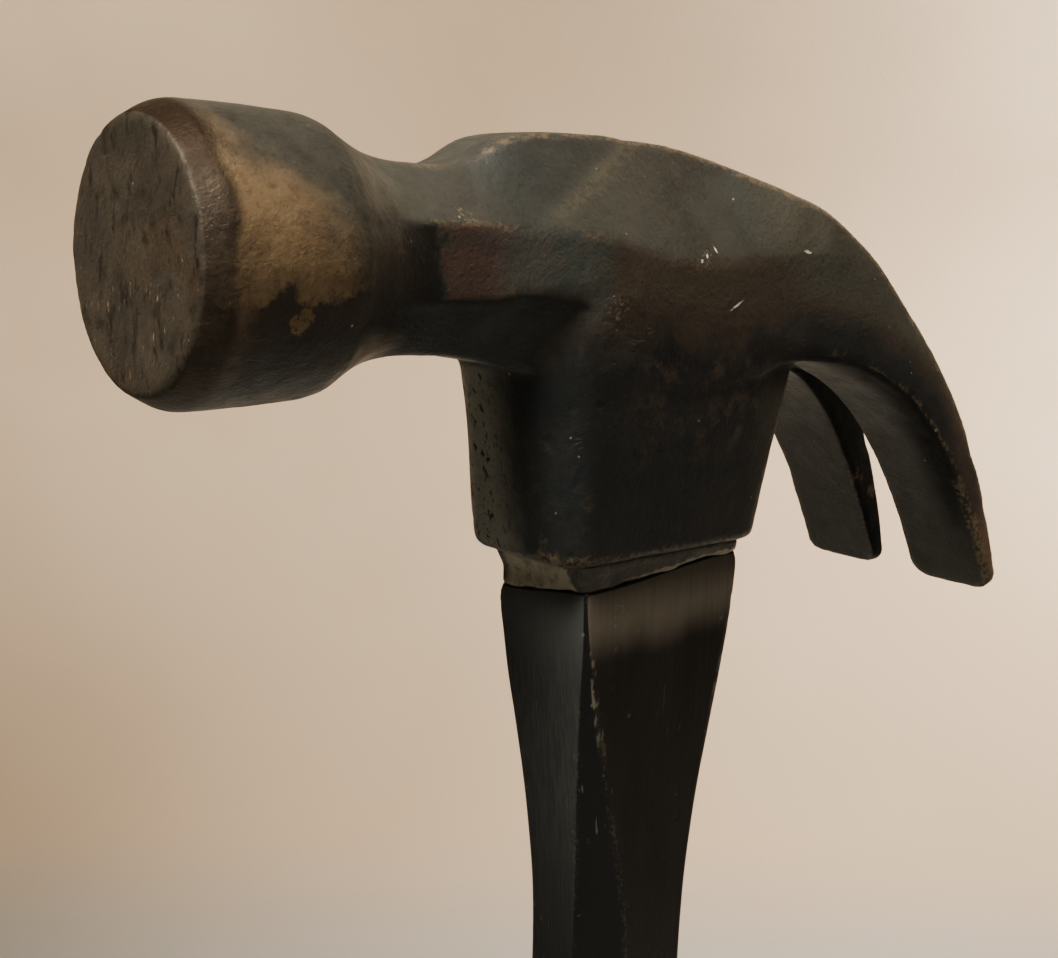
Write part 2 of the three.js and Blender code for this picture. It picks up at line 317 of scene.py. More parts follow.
# x and radius of the bell behind its bevel, and of the fillet into the neck.
BELL = {
    "x": (-66, -61, -55, -49.5, -48, -46.4, -44.6, -42.4, -40.6, -38),
    "radius": (14.8, 14.8, 14.7, 14.4, 14.05, 13.15, 12.2, 11.2, 10.5, 9.6),
}


def past_section(x, z, section_x, section_z, lean):
    """Distance past a section's plane, towards the claws' tips."""
    return (x - section_x) * np.cos(lean) - (z - section_z) * np.sin(lean)


def section_fields(x, z):
    """Station number and depth below the upper edge."""
    s = HEAD_SECTIONS
    low = np.zeros_like(x)
    high = np.full_like(x, len(s["x"]) - 1)
    for _ in range(26):
        middle = (low + high) / 2
        lean = np.radians(spline(s["lean"], middle))
        ahead = past_section(x, z, spline(s["x"], middle), spline(s["z"], middle), lean)
        low = np.where(ahead > 0, middle, low)
        high = np.where(ahead > 0, high, middle)
    at = (low + high) / 2
    lean = np.radians(spline(s["lean"], at))
    depth = (spline(s["x"], at) - x) * np.sin(lean) + (spline(s["z"], at) - z) * np.cos(lean)
    return at, depth


def tip_field(x, z):
    """Distance past the plane of the claws' tips."""
    tip_x, tip_z, lean = (HEAD_SECTIONS[key][-1] for key in ("x", "z", "lean"))
    return past_section(x, z, tip_x, tip_z, math.radians(lean))


def body_field(x, y, z):
    """Neck, crown and claws: planes and a crowned top between the section's named edges."""
    at, depth = section_fields(*np.broadcast_arrays(x[:, 0, :], z[:, 0, :]))
    s = {key: spline(values, at)[:, None, :] for key, values in HEAD_SECTIONS.items()}
    depth = depth[:, None, :]
    half = np.abs(y)

    def plane(width, drop, width_to, drop_to):
        across, down = width_to - width, drop_to - drop
        length = np.maximum(np.hypot(across, down), 1e-6)
        return ((half - width) * down - (depth - drop) * across) / length

    top = -(depth + s["crown"] * (1 - (half / s["top"]) ** 2))
    side = half - s["side"]
    field = smooth_max(top, plane(s["top"], 0, s["side"], s["bevel_drop"]), 0.6)
    field = smooth_max(field, side, 0.45)
    field = smooth_max(field, plane(s["side"], s["side_drop"], s["under"], s["under_drop"]), 0.5)
    field = smooth_max(field, depth - s["under_drop"] - 0.1, 0.5)
    field = smooth_max(field, tip_field(x, z), 0.35)
    field = np.maximum(field, smooth_max(side, tip_field(x, z), 4))
    return np.maximum(field, NECK_START - x)


def bell_field(x, y, z):
    radial = np.hypot(y, z - BELL_AXIS)
    slope = np.gradient(np.interp(x[:, 0, 0], BELL["x"], BELL["radius"]), x[:, 0, 0])
    barrel = (radial - np.interp(x, BELL["x"], BELL["radius"])) / np.hypot(1, slope)[:, None, None]
    lean = math.atan2(BELL_R - FACE_R, BELL_BEVEL)
    bevel = (radial - FACE_R) * math.cos(lean) - (x - FACE_X) * math.sin(lean)
    field = smooth_max(barrel, bevel, 0.5)
    field = smooth_max(field, FACE_X - x, 0.3)
    return np.maximum(field, x - BELL_END)


def rounded_box(x, y, half_x, half_y, corner):
    qx, qy = np.abs(x) - half_x + corner, np.abs(y) - half_y + corner
    outside = np.hypot(np.maximum(qx, 0), np.maximum(qy, 0))
    return outside + np.minimum(np.maximum(qx, qy), 0) - corner


def socket_field(x, y, z):
    front, rear, half = (np.interp(z, SOCKET["z"], SOCKET[key]) for key in ("front", "rear", "half"))
    # The front corners are broad and grow broader towards the neck; the rear ones are tight.
    corner = np.where(x < 0, 4.6 + 3.2 * smoothstep(1, 20, z), 3.6)
    field = rounded_box(x - (front + rear) / 2, y, (rear - front) / 2, half, corner)
    field = smooth_max(field, -z, 1.6)
    return smooth_max(field, z - SOCKET["z"][-1], 3)


def eye_field(x, y, z):
    half_x, half_y = (np.interp(z, EYE_TAPER, ends) for ends in zip(EYE_MOUTH, EYE_TOP))
    return rounded_box(x, y, half_x, half_y, 3.2)


def slot_field(x, y, z):
    along = x * math.cos(SLOT_TILT) - z * math.sin(SLOT_TILT) - SLOT_ROOT
    t = np.clip((along - SLOT_STRAIGHT) / (SLOT_TIP - SLOT_ROOT - SLOT_STRAIGHT), 0, 1)
    half_gap = SLOT_ROOT_HALF_GAP + (SLOT_HALF_GAP - SLOT_ROOT_HALF_GAP) * (1 - (1 - t) ** 2)
    return smooth_max(np.abs(y) - half_gap, -along, 2.4)


def head_field(x, y, z):
    field = smooth_min(body_field(x, y, z), bell_field(x, y, z), 1.2)
    field = smooth_min(field, socket_field(x, y, z), 1.4)
    field = smooth_max(field, -eye_field(x, y, z), 0.8)
    slot = smooth_max(-slot_field(x, y, z), tip_field(x, z), 3)
    return smooth_max(field, slot, 0.7) + INSET


def lower_edge_distance(vertices):
    """How far each point of the neck and claws is from the lower edge of its side."""
    at, depth = section_fields(vertices[:, 0], vertices[:, 2])
    across = np.abs(vertices[:, 1]) - spline(HEAD_SECTIONS["side"], at)
    return np.hypot(across, depth - spline(HEAD_SECTIONS["side_drop"], at))


def head_pits(vertices):
    """Shallow pits all over the head, and more on the striking face and the socket's front."""
    x, y, z = vertices.T
    outside = np.flatnonzero(eye_field(x, y, z) > 1.2)
    face = np.flatnonzero(x < FACE_X + 0.5)
    front = np.flatnonzero((x < -14) & (z < 22) & (z > 1))
    all_over, on_face, on_front = 300, 60, 70
    rng = np.random.default_rng(11)
    centres = np.concatenate([
        vertices[rng.choice(outside, all_over)],
        vertices[rng.choice(face, on_face)],
        vertices[rng.choice(front, on_front)],
    ])
    radii = np.concatenate([
        rng.gamma(3, 0.12, all_over) + 0.4,
        rng.uniform(0.5, 0.9, on_face),
        rng.uniform(0.45, 0.8, on_front),
    ])
    depths = np.concatenate([
        rng.uniform(0.02, 0.08, all_over),
        rng.uniform(0.03, 0.1, on_face),
        rng.uniform(0.08, 0.2, on_front),
    ])
    return pit_push(vertices, centres, radii, depths)


def build_head():
    margin = 1.5
    low = np.array(HEAD_LOW) - (0, 0, RIM_Z) - margin
    high = np.array(HEAD_HIGH) - (0, 0, RIM_Z) + margin
    vertices, quads = implicit_mesh(head_field, low, high, HEAD_VOXEL, 3)
    edge = edge_sharpness(vertices, quads, 6)
    pits = head_pits(vertices)
    attributes = {
        "edge": edge,
        "pit": np.clip(-pits / 0.12, 0, 1),
        "lower_edge": lower_edge_distance(vertices),
    }
    push = pits - 0.05 * np.clip(fractal_noise(vertices, 13, 3, 5) + 0.4, 0, 2)
    push -= 0.025 * np.clip(fractal_noise(vertices, 2.6, 2, 9), 0, 2)
    push -= np.clip(edge, 0, 0.3) * 0.7 * np.clip(fractal_noise(vertices, 4, 2, 21), 0, 1)
    vertices = vertices + vertex_normals(vertices, quads) * push[:, None]
    return mesh_piece("head", vertices + (0, 0, RIM_Z), quads, attributes)


# ---- adhesive -------------------------------------------------------------------------------
def seat_drop(x, y):
    """How far the handle's shoulder falls to its front far corner and rises to the opposite one."""
    lean = y / 16 - x / 27
    return 2.0 * smoothstep(-0.1, 0.95, lean) - 1.8 * smoothstep(0.05, 0.95, -lean)


def resin_field(x, y, z):
    """A ragged collar between rim and handle, joined to the filling of the eye, round the bar."""
    sag = np.sin(x * 0.55 + 0.8) * 0.5 + np.sin(x * 1.3 + y * 0.9) * 0.3 + np.sin(y * 1.7) * 0.25
    foot = -3.65 - seat_drop(x, y) - 0.35 * sag
    spread = np.clip(1 + z / 3, 0, 1)
    half_x = HANDLE["half_x"][-1] + 0.12 + 0.58 * spread + 0.12 * sag
    half_y = HANDLE["half_y"][-1] + 0.12 + 0.78 * spread + 0.08 * sag
    collar = rounded_box(x - HANDLE["centre"][-1] * (1 - spread), y, half_x, half_y, 0.9)
    collar = smooth_max(smooth_max(collar, foot - z, 0.7), z - 0.3, 0.2)
    filling = smooth_max(eye_field(x, y, z) + GAP, -1.4 - z, 0.4)
    filling = smooth_max(filling, z - EYE_FILL + 0.6, 0.5)
    bar = rounded_box(x, y, CORE_HIGH.x + GAP, CORE_HIGH.y + GAP, 2)
    return np.maximum(np.minimum(collar, filling), -bar) + 0.05


def build_resin():
    low, high = (-15.6, -10.6, -6.8), (16.4, 10.6, EYE_FILL + 1)
    vertices, quads = implicit_mesh(resin_field, low, high, RESIN_VOXEL, 2)
    push = -0.1 * np.clip(fractal_noise(vertices, 2.2, 2, 31) + 0.2, 0, 2)
    vertices = vertices + vertex_normals(vertices, quads) * push[:, None]
    return mesh_piece("adhesive", vertices + (0, 0, RIM_Z), quads)


# ---- handle and grip ------------------------------------------------------------------------
# Height from the rim (handle) or the butt (grip), half-length X, half-width Y; for the handle
# also its corner cut and how far its axis stands behind the bar's.
HANDLE = {
    "z": (-271.4, -220, -150, -100, -60, -45, -38, -30, -23, -17, -11, -7, -4.6, -3.4),
    "half_x": (10.6, 11, 10.6, 9.9, 9.8, 10.05, 10.5, 11.3, 12.05, 12.65, 13.1, 13.4, 13.5, 13.3),
    "half_y": (8.4, 8.8, 8.6, 8.7, 8.8, 8.5, 8.15, 7.95, 7.95, 8.0, 8.1, 8.05, 7.95, 7.7),
    "cut": (4.6, 4.8, 4.8, 4.9, 5, 4.5, 3.7, 2.9, 2.1, 1.4, 0.8, 0.5, 0.4, 0.4),
    "centre": (0, 0, 0, 0.6, 1.3, 1.2, 1.1, 1, 0.9, 0.75, 0.7, 0.7, 0.7, 0.7),
}
GRIP = {
    "z": (0, 0.5, 2.2, 6, 10, 20, 38, 62, 88, 108, 122, 126.6, 128),
    "half_x": (12.8, 14.2, 16.1, 17.1, 17.15, 16.2, 15.95, 16.55, 15.85, 14.65, 13.95, 13.55, 12.7),
    "half_y": (9.8, 11.0, 12.6, 13.3, 13.35, 12.6, 12.45, 12.85, 12.45, 11.65, 11.25, 10.95, 10.2),
}
RIB_PITCH = 4.2
RING_COUNTS = (9, 52, 9, 36)    # points along a corner cut, a broad side, a cut, a narrow side


def curve(xs, ys, at):
    """Smooth curve through unevenly spaced points that doesn't overshoot them."""
    xs, ys = np.asarray(xs, float), np.asarray(ys, float)
    rise = np.diff(ys) / np.diff(xs)
    slope = np.concatenate([rise[:1], (rise[1:] + rise[:-1]) / 2, rise[-1:]])
    slope[1:-1] = np.where(rise[1:] * rise[:-1] > 0, slope[1:-1], 0)
    i = np.clip(np.searchsorted(xs, at) - 1, 0, len(xs) - 2)
    width = xs[i + 1] - xs[i]
    t = np.clip((at - xs[i]) / width, 0, 1)
    a = ys[i] * (1 + 2 * t) * (1 - t) ** 2 + ys[i + 1] * t * t * (3 - 2 * t)
    return a + width * (slope[i] * t * (1 - t) ** 2 - slope[i + 1] * t * t * (1 - t))


def octagon(half_x, half_y, cut, centre=0.0):
    """Points round an oblong with cut corners, in step from one ring to the next."""
    corners = []
    for sign_x, sign_y in ((1, 1), (-1, 1), (-1, -1), (1, -1)):
        short = (sign_x * (half_x - cut), sign_y * half_y)
        long = (sign_x * half_x, sign_y * (half_y - cut))
        corners += [long, short] if sign_x * sign_y > 0 else [short, long]
    points = []
    for k, count in enumerate(RING_COUNTS * 2):
        (x0, y0), (x1, y1) = corners[k], corners[(k + 1) % 8]
        points += [(x0 + (x1 - x0) * i / count, y0 + (y1 - y0) * i / count) for i in range(count)]
    ring = np.array(points)
    softened = (ring * 2 + np.roll(ring, 1, axis=0) + np.roll(ring, -1, axis=0)) / 4
    return softened + [centre, 0]


def stack(rings, levels):
    """Rings of XY points set at their heights."""
    return np.stack([np.column_stack([ring, np.full(len(ring), z)]) for ring, z in zip(rings, levels)])


def between(ring_a, ring_b, steps):
    """Rings that lead from one ring to another, without either of them."""
    share = np.linspace(0, 1, steps + 1)[1:-1, None, None]
    return ring_a + (ring_b - ring_a) * share


def end_cap(ring, steps):
    """Rings that widen from near the middle of an end to its edge."""
    return between(ring * [0.02, 0.02, 1], ring, steps)


def skin(rings):
    """Quads between neighbouring rings, with a fan that closes each end."""
    rows, count = rings.shape[:2]
    ring = np.arange(rows * count).reshape(rows, count)
    after = np.roll(ring, -1, axis=1)
    sides = np.stack([ring[:-1], after[:-1], after[1:], ring[1:]], axis=-1).reshape(-1, 4)
    points = np.concatenate([rings.reshape(-1, 3), rings[[0, -1]].mean(axis=1)])
    fans = []
    for row, centre, order in ((ring[0], rows * count, -1), (ring[-1], rows * count + 1, 1)):
        ends = np.full(count // 2, centre)
        fan = np.stack([row[0::2], row[1::2], np.roll(row, -2)[0::2], ends], axis=1)
        fans.append(fan[:, ::order])
    return points, np.concatenate([sides, *fans])


def handle_rings(levels, grow):
    """The handle's sections at heights from the rim, `grow` millimetres proud of it."""
    keys = ("half_x", "half_y", "cut", "centre")
    at = [curve(HANDLE["z"], HANDLE[key], levels) for key in keys]
    rings = [octagon(x + grow, y + grow, cut, centre) for x, y, cut, centre in zip(*at)]
    return stack(rings, levels)


def handle_chips(vertices, edge):
    """Nicks on the part of the handle between head and grip, half of them on its ridges."""
    shown = np.flatnonzero((vertices[:, 2] > -145) & (vertices[:, 2] < -5))
    outer = np.hypot(vertices[:, 0], vertices[:, 1]) > 8.5
    shown = shown[outer[shown]]
    ridge = shown[edge[shown] > np.percentile(edge[shown], 88)]
    on_faces, on_ridges = 110, 130
    rng = np.random.default_rng(4)
    centres = np.concatenate([
        vertices[rng.choice(shown, on_faces)],
        vertices[rng.choice(ridge, on_ridges)],
    ])
    radii = np.concatenate([rng.uniform(0.3, 0.5, on_faces), rng.uniform(0.25, 0.5, on_ridges)])
    depths = np.concatenate([rng.uniform(0.04, 0.12, on_faces), rng.uniform(0.06, 0.14, on_ridges)])
    return pit_push(vertices, centres, radii, depths)


def build_handle():
    top, foot, hidden = JACKET_HIGH.z - RIM_Z, JACKET_LOW.z - RIM_Z, -150
    levels = np.concatenate([np.linspace(foot, hidden, 60)[:-1], np.linspace(hidden, top, 290)])
    outer = handle_rings(levels, 0)
    shoulder = smoothstep(-13, top, outer[..., 2])
    outer[..., 2] -= seat_drop(outer[..., 0], outer[..., 1]) * shoulder
    depths = np.linspace(top, CORE_LOW.z - RIM_Z - GAP, 12)
    hole = stack([octagon(CORE_HIGH.x + GAP, CORE_HIGH.y + GAP, 1)] * len(depths), depths)
    hole[0, :, 2] -= seat_drop(hole[0, :, 0], hole[0, :, 1])
    vertices, faces = skin(np.concatenate([
        end_cap(outer[0], 7), outer, between(outer[-1], hole[0], 5), hole,
    ]))
    edge = edge_sharpness(vertices, faces, 4)
    chips = handle_chips(vertices, edge)
    push = chips - 0.05 * np.clip(fractal_noise(vertices * [1, 1, 0.25], 5, 2, 41) + 0.3, 0, 2)
    vertices = vertices + vertex_normals(vertices, faces) * push[:, None]
    attributes = {"edge": edge, "pit": np.clip(-chips / 0.15, 0, 1)}
    return mesh_piece("handle", vertices + (0, 0, RIM_Z), faces, attributes)


def grip_radius(z, angle):
    """Radius of the grip: a soft oblong with cross ribs, side panels, end bands and fine lines."""
    half_x, half_y = (curve(GRIP["z"], GRIP[key], z) - 0.1 for key in ("half_x", "half_y"))
    cosine, sine = np.abs(np.cos(angle)), np.abs(np.sin(angle))
    oval = ((cosine / half_x) ** 2.7 + (sine / half_y) ** 2.7) ** (-1 / 2.7)
    # Cross ribs on the front and back, between plain side panels and plain end bands.
    rib = smoothstep(-0.35, 0.35, np.cos(z * 2 * math.pi / RIB_PITCH))
    ribbed = smoothstep(16, 18, z) * (1 - smoothstep(104, 106, z))
    groove = 0.75 * (1 - rib) * ribbed * smoothstep(0.42, 0.6, cosine)
    # A shallow line round each end band and beside each panel.
    lines = np.exp(-((z - 13.5) / 0.5) ** 2) + np.exp(-((z - 108.5) / 0.5) ** 2)
    panel = np.exp(-((cosine - 0.36) / 0.035) ** 2) * ribbed
    return oval - groove - 0.55 * np.minimum(lines, 1) - 0.45 * panel


def build_grip():
    low, high = 12, 112
    levels = np.concatenate([
        np.linspace(0, low, 40)[:-1], np.linspace(low, high, 330)[:-1],
        np.linspace(high, GRIP_HIGH.z, 50),
    ])
    inner = handle_rings(np.linspace(GRIP_HIGH.z, JACKET_LOW.z - GAP, 14) - RIM_Z, GAP)
    angle = np.arctan2(inner[0, :, 1], inner[0, :, 0])
    around = np.column_stack([np.cos(angle), np.sin(angle)])
    outer = stack([around * grip_radius(z, angle)[:, None] for z in levels], levels)
    inner[..., 2] += RIM_Z
    vertices, faces = skin(np.concatenate([
        end_cap(outer[0], 9), outer, between(outer[-1], inner[0], 4), inner,
    ]))
    edge = edge_sharpness(vertices, faces, 5)
    push = -0.05 * np.clip(fractal_noise(vertices, 6, 3, 51) + 0.5, 0, 2)
    push[vertices[:, 2] < 0.05] = 0
    vertices = vertices + vertex_normals(vertices, faces) * push[:, None]
    return mesh_piece("grip", vertices, faces, {"edge": edge})


# ---- materials ------------------------------------------------------------------------------
SHEEN = (0.85, 0.95, 0.96, 1)   # tint of the reflections on paint and on the moulding
# Nicks in the near cheek: x, height above the rim, half-length, half-width, tilt in degrees.
NICKS = (
    (0.2, 35.6, 0.4, 0.25, 45), (1.2, 36.2, 0.4, 0.2, 60), (2.9, 36.9, 0.6, 0.16, 115),
    (6.4, 30.4, 1.6, 0.2, 30), (18.4, 36.8, 0.8, 0.25, -6),
)
# Clusters of pale specks: x, y, height above the rim, radius.
CLUSTERS = ((-12.7, -11.4, 29.6, 2.2), (1.1, -11.9, 36, 1.5), (-45, -9.6, 31, 1.8), (-33.6, -10, 40.8, 1.8))


def shade(red, green, blue):
    """Linear colour of an 8-bit display colour."""
    return tuple((c / 255) ** 2.2 for c in (red, green, blue)) + (1.0,)


class Look:
    """One procedural material. Sizes are in millimetres of the row frame."""

    def __init__(self, name):
        self.material = bpy.data.materials.new(name)
        self.material.use_nodes = True
        self.tree = self.material.node_tree
        self.shader = self.tree.nodes["Principled BSDF"]
        coordinates = self.tree.nodes.new("ShaderNodeTexCoord").outputs["Object"]
        self.place = self.vector("SCALE", coordinates, scale=1 / MM)
        split = self.node("ShaderNodeSeparateXYZ", {"Vector": self.place})
        self.x, self.y, self.z = split.outputs
        self.rise = self.less(self.z, RIM_Z)
        geometry = self.tree.nodes.new("ShaderNodeNewGeometry")
        facing = self.node("ShaderNodeSeparateXYZ", {"Vector": geometry.outputs["Normal"]})
        self.facing_x, self.facing_y, self.facing_z = facing.outputs

    def node(self, kind, inputs=None, **settings):
        made = self.tree.nodes.new(kind)
        for key, value in settings.items():
            setattr(made, key, value)
        for key, value in (inputs or {}).items():
            self.put(made.inputs[key], value)
        return made

    def put(self, socket, value):
        if isinstance(value, bpy.types.NodeSocket):
            self.tree.links.new(value, socket)
        else:
            socket.default_value = value

    def set(self, **inputs):
        """Values of the shader's inputs, with _ for the spaces in their names."""
        for key, value in inputs.items():
            self.put(self.shader.inputs[key.replace("_", " ")], value)

    def vector(self, operation, a, b=(0, 0, 0), scale=1.0):
        made = self.node("ShaderNodeVectorMath", {0: a}, operation=operation)
        if operation == "SCALE":
            made.inputs["Scale"].default_value = scale
        else:
            self.put(made.inputs[1], b)
        return made.outputs["Value" if operation == "DISTANCE" else "Vector"]

    def math(self, operation, a, b=0.0, clamp=False):
        made = self.node("ShaderNodeMath", {0: a, 1: b}, operation=operation, use_clamp=clamp)
        return made.outputs[0]

    def chain(self, operation, values):
        return reduce(lambda total, value: self.math(operation, total, value), values)

    def add(self, *values):
        return self.chain("ADD", values)

    def less(self, a, b):
        return self.math("SUBTRACT", a, b)

    def either(self, *shares):
        return self.chain("MAXIMUM", shares)

    def both(self, *shares, **limits):
        """Product of the shares and of a ramp over each named value, between its limits."""
        ramps = [self.ramp(getattr(self, name), *ends) for name, ends in limits.items()]
        return self.chain("MULTIPLY", [*shares, *ramps])

    def size_of(self, value):
        return self.math("ABSOLUTE", value)

    def ragged(self, value, noise, amount):
        """The value with a noise of the given height on it, so that its limits wander."""
        return self.add(value, self.both(noise, amount))

    def ramp(self, value, low, high, to_low=0.0, to_high=1.0):
        made = self.node(
            "ShaderNodeMapRange",
            {"Value": value, "From Min": low, "From Max": high, "To Min": to_low, "To Max": to_high},
            interpolation_type="SMOOTHSTEP",
        )
        return made.outputs["Result"]

    def blend(self, share, a, b):
        return self.node("ShaderNodeMix", {0: share, 6: a, 7: b}, data_type="RGBA").outputs[2]

    def coat(self, colour, tint, *shares, **limits):
        """The colour with a tint over it, where and as strongly as the shares and limits say."""
        return self.blend(self.both(*shares, **limits), colour, shade(*tint))

    def two_tone(self, noise, tint, other_tint, low=0.35, high=0.65):
        return self.coat(shade(*tint), other_tint, self.ramp(noise, low, high))

    def noise(self, size, detail=2.0, roughness=0.5, stretch=(1, 1, 1), offset=0.0, warp=0.0):
        at = self.vector("MULTIPLY", self.place, tuple(1 / (size * s) for s in stretch))
        at = self.vector("ADD", at, (offset, offset * 0.7, offset * 1.3))
        made = self.node("ShaderNodeTexNoise", {
            "Vector": at, "Scale": 1.0, "Detail": detail, "Roughness": roughness, "Distortion": warp,
        })
        return made.outputs["Fac"]

    def dots(self, size, offset):
        """Distance to the nearest of the points scattered `size` apart, in that unit."""
        at = self.vector("ADD", self.vector("SCALE", self.place, scale=1 / size), (offset,) * 3)
        return self.node("ShaderNodeTexVoronoi", {"Vector": at, "Scale": 1.0}).outputs["Distance"]

    def attribute(self, name):
        return self.node("ShaderNodeAttribute", attribute_name=name).outputs["Fac"]

    def spot(self, x, y, rise, radius, ragged, size=2.0):
        """1 inside a ball with a ragged edge, at a height above the rim."""
        distance = self.vector("DISTANCE", self.place, (x, y, RIM_Z + rise))
        reach = self.ragged(distance, self.noise(size, 3, 0.6), 2 * radius * ragged)
        return self.ramp(reach, radius * (1 + ragged), radius * (0.75 + ragged))

    def finish(self, colour, rough, *bumps):
        """Sets colour, roughness and the bumps, which are (height, depth in millimetres) pairs."""
        self.set(Base_Color=colour, Roughness=rough)
        normal = None
        for height, depth in bumps:
            made = self.node("ShaderNodeBump", {"Height": height, "Strength": 1.0, "Distance": depth * MM})
            if normal is not None:
                self.put(made.inputs["Normal"], normal)
            normal = made.outputs["Normal"]
        self.set(Normal=normal)
        return self.material


class HeadLook(Look):
    """The noises and masks that the forged head's colours share."""

    def __init__(self, name):
        super().__init__(name)
        self.edge, self.pit, self.lower_edge = map(self.attribute, ("edge", "pit", "lower_edge"))
        self.coarse = self.noise(11, 4, 0.6, warp=0.4)
        self.mottle = self.noise(3.2, 4, 0.65, offset=7)
        self.grain = self.noise(0.7, 3, 0.6, offset=3)
        self.height = self.less(self.rise, BELL_AXIS)
        self.boundary = self.add(self.ragged(self.x, self.mottle, 3.4), self.both(self.height, -0.12))
        self.bare = self.both(boundary=(-46.0, -46.3))
        self.claws = self.both(x=(11, 21))
        self.off_slot = self.slot_distance()
        self.slot_wall = self.both(self.claws, off_slot=(0.75, 0.3))
        # Where dust lies and where light is painted: paler on what faces up, and on a high band over the
        # cheeks and claws.
        self.dusty_high = self.both(
            self.ramp(self.ragged(self.rise, self.mottle, 3), 37, 38.5),
            self.both(x=(3, 8)), self.both(x=(27, 21)),
        )
        dusty = self.both(facing_z=(0.14, 0.36), mottle=(0.2, 0.75, 0.7, 1.0))
        self.dusty = self.either(dusty, self.dusty_high)

    def slot_distance(self):
        """How far a point stands outside the nail slot's walls."""
        along = self.less(self.both(self.x, math.cos(SLOT_TILT)), self.both(self.rise, math.sin(SLOT_TILT)))
        widens_at = SLOT_ROOT + SLOT_STRAIGHT
        share = self.math("DIVIDE", self.less(along, widens_at), SLOT_TIP - widens_at, clamp=True)
        left = self.less(1.0, share)
        opened = self.both(self.less(1.0, self.both(left, left)), SLOT_HALF_GAP - SLOT_ROOT_HALF_GAP)
        return self.less(self.size_of(self.y), self.add(opened, SLOT_ROOT_HALF_GAP))

    def nick(self, x, rise, length, width, tilt):
        """1 on a tapered nick in the near cheek."""
        ahead, up = self.less(self.x, x), self.less(self.rise, rise)
        cosine, sine = math.cos(math.radians(tilt)), math.sin(math.radians(tilt))
        along = self.add(self.both(ahead, cosine), self.both(up, sine))
        across = self.less(self.both(up, cosine), self.both(ahead, sine))
        wobble = self.less(self.noise(0.4, 2, 0.6, offset=59), 0.5)
        across = self.ragged(across, wobble, 2 * width)
        along, across = self.both(along, 1 / length), self.both(across, 1 / width)
        reach = self.add(self.size_of(along), self.size_of(across))
        return self.both(self.ramp(reach, 1.0, 0.7), y=(0, -1))


def bell_colour(look):
    """The polished bell: rust brown, grey on top, scaly and dark underneath; painted shade on its bevel's
    top and a painted highlight on its upper ridges.
    """
    steel = look.two_tone(look.mottle, (50, 50, 45), (64, 61, 53), 0.3, 0.7)
    rust = look.two_tone(look.coarse, (118, 98, 72), (92, 76, 57))
    rust = look.coat(rust, (130, 109, 80), mottle=(0.48, 0.7, 0.0, 0.6))
    speckle = look.noise(1.1, 3, 0.6, offset=15)
    rust = look.coat(rust, (80, 63, 45), look.ramp(speckle, 0.5, 0.68, 0.0, 0.45))
    upper = look.add(look.ragged(look.height, look.coarse, 18), look.both(look.x, 0.95))
    bell = look.blend(look.ramp(upper, -44, -33), rust, steel)
    lower = look.ramp(look.ragged(look.height, look.mottle, 7), 1.3, 0.3)
    bell = look.coat(bell, (48, 44, 41), lower, 0.9, x=(-63.0, -59.5))
    bell = look.coat(bell, (38, 31, 25), height=(-3, -8), coarse=(0.3, 0.6, 0.5, 1.0))
    bell = look.coat(bell, (34, 32, 27), 0.8, facing_z=(-0.8, -0.93), mottle=(0.3, 0.6, 0.4, 1.0))
    bevel = look.two_tone(look.mottle, (46, 37, 28), (62, 51, 38), 0.3, 0.7)
    # Painted shade: the bevel darker and browner where it faces up.
    bevel = look.coat(bevel, (40, 29, 18), facing_z=(0.1, 0.8, 0, 0.92))
    on_bevel = look.ramp(look.ragged(look.x, look.coarse, 3), FACE_X + 5.3, FACE_X + 4.1)
    bell = look.blend(on_bevel, bell, bevel)
    bell = look.coat(bell, (88, 72, 52), look.spot(-63.9, -12.4, 42.3, 0.9, 0.9), 0.2, mottle=(0.35, 0.55))
    # Painted highlight along the bell's upper ridges.
    bell = look.coat(bell, (104, 98, 82), 0.15, edge=(0.1, 0.28), height=(-9, -2))
    bell = look.blend(look.both(x=(FACE_X + 0.5, FACE_X + 0.3)), bell, face_colour(look))
    return look.coat(bell, (36, 28, 22), look.pit, 0.6)


def face_colour(look):
    """The striking face: grey brown with upright smudges and a few bright nicks."""
    smudge = look.noise(1.5, 4, 0.65, stretch=(1, 0.8, 2.0), offset=11, warp=0.5)
    face = look.two_tone(look.noise(6, 3, 0.6, offset=13), (58, 53, 45), (70, 63, 52))
    face = look.coat(face, (70, 56, 42), coarse=(0.5, 0.7, 0, 0.6))
    face = look.coat(face, (36, 30, 24), look.ramp(smudge, 0.52, 0.66, 0, 0.85))
    nick = look.noise(0.55, 2, 0.5, stretch=(1, 0.8, 3.2), offset=17)
    return look.coat(face, (134, 120, 98), look.ramp(nick, 0.68, 0.74), height=(2, -6))


def black_paint(look):
    """Blue-black low on the socket, brown on the upper cheeks and the claws."""
    paint = look.two_tone(look.coarse, (25, 26, 26), (33, 32, 30))
    upper_brown = look.either(look.ramp(look.ragged(look.rise, look.coarse, 22), 33, 42), look.claws)
    return look.coat(paint, (62, 53, 43), upper_brown, 0.85)


def neck_paint(look, paint):
    """Grey sides of the neck, with a red patch and a dark one; gives back the red patch too."""
    side = look.both(x=(-12, -17), facing_z=(-0.3, -0.1), rise=(27, 30))
    grey = look.two_tone(look.mottle, (58, 62, 58), (66, 63, 56), 0.4, 0.6)
    paint = look.blend(side, paint, grey)
    ragged_x = look.ragged(look.x, look.mottle, 6)
    ends = look.both(look.ramp(ragged_x, -35, -33), look.ramp(ragged_x, -23, -28))
    red = look.both(ends, side, mottle=(0.25, 0.6, 0.5, 1.0))
    paint = look.coat(paint, (66, 46, 38), red, 0.8)
    return look.coat(paint, (26, 24, 21), look.ramp(ragged_x, -33, -35), 0.93, facing_z=(0.45, 0.3)), red


